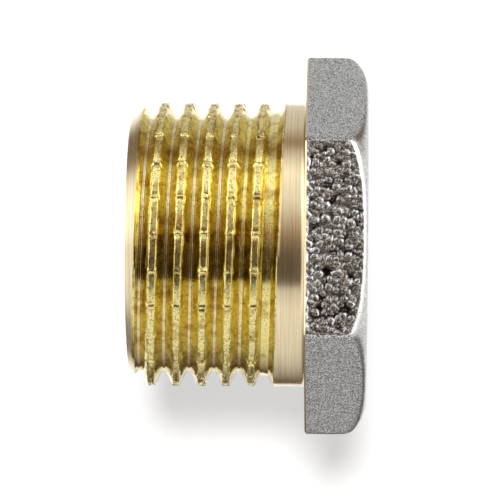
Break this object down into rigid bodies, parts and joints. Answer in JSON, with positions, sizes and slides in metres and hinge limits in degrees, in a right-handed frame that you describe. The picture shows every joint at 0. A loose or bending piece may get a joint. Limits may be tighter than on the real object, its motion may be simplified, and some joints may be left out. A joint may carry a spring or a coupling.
{
  "type": "threaded plug",
  "caption": "Hollow brass pipe plug with a straight external thread, a plain collar and a domed hexagon head, for closing a threaded pipe end or port.",
  "frame": {"origin": "centre of the head's outer face; the plug stands on its head", "axes": "+Z along the axis to the open threaded tip; -Y and +Y are normals of two flats; two corners lie on the X axis"},
  "size_m": [0.0276, 0.024, 0.0173],
  "materials": {
    "brass": "machined bare brass thread, collar and shoulder; shot-blasted nickel-plated head and hollow"
  },
  "bodies": {
    "root": {"plug": "brass"}
  },
  "joints": []
}
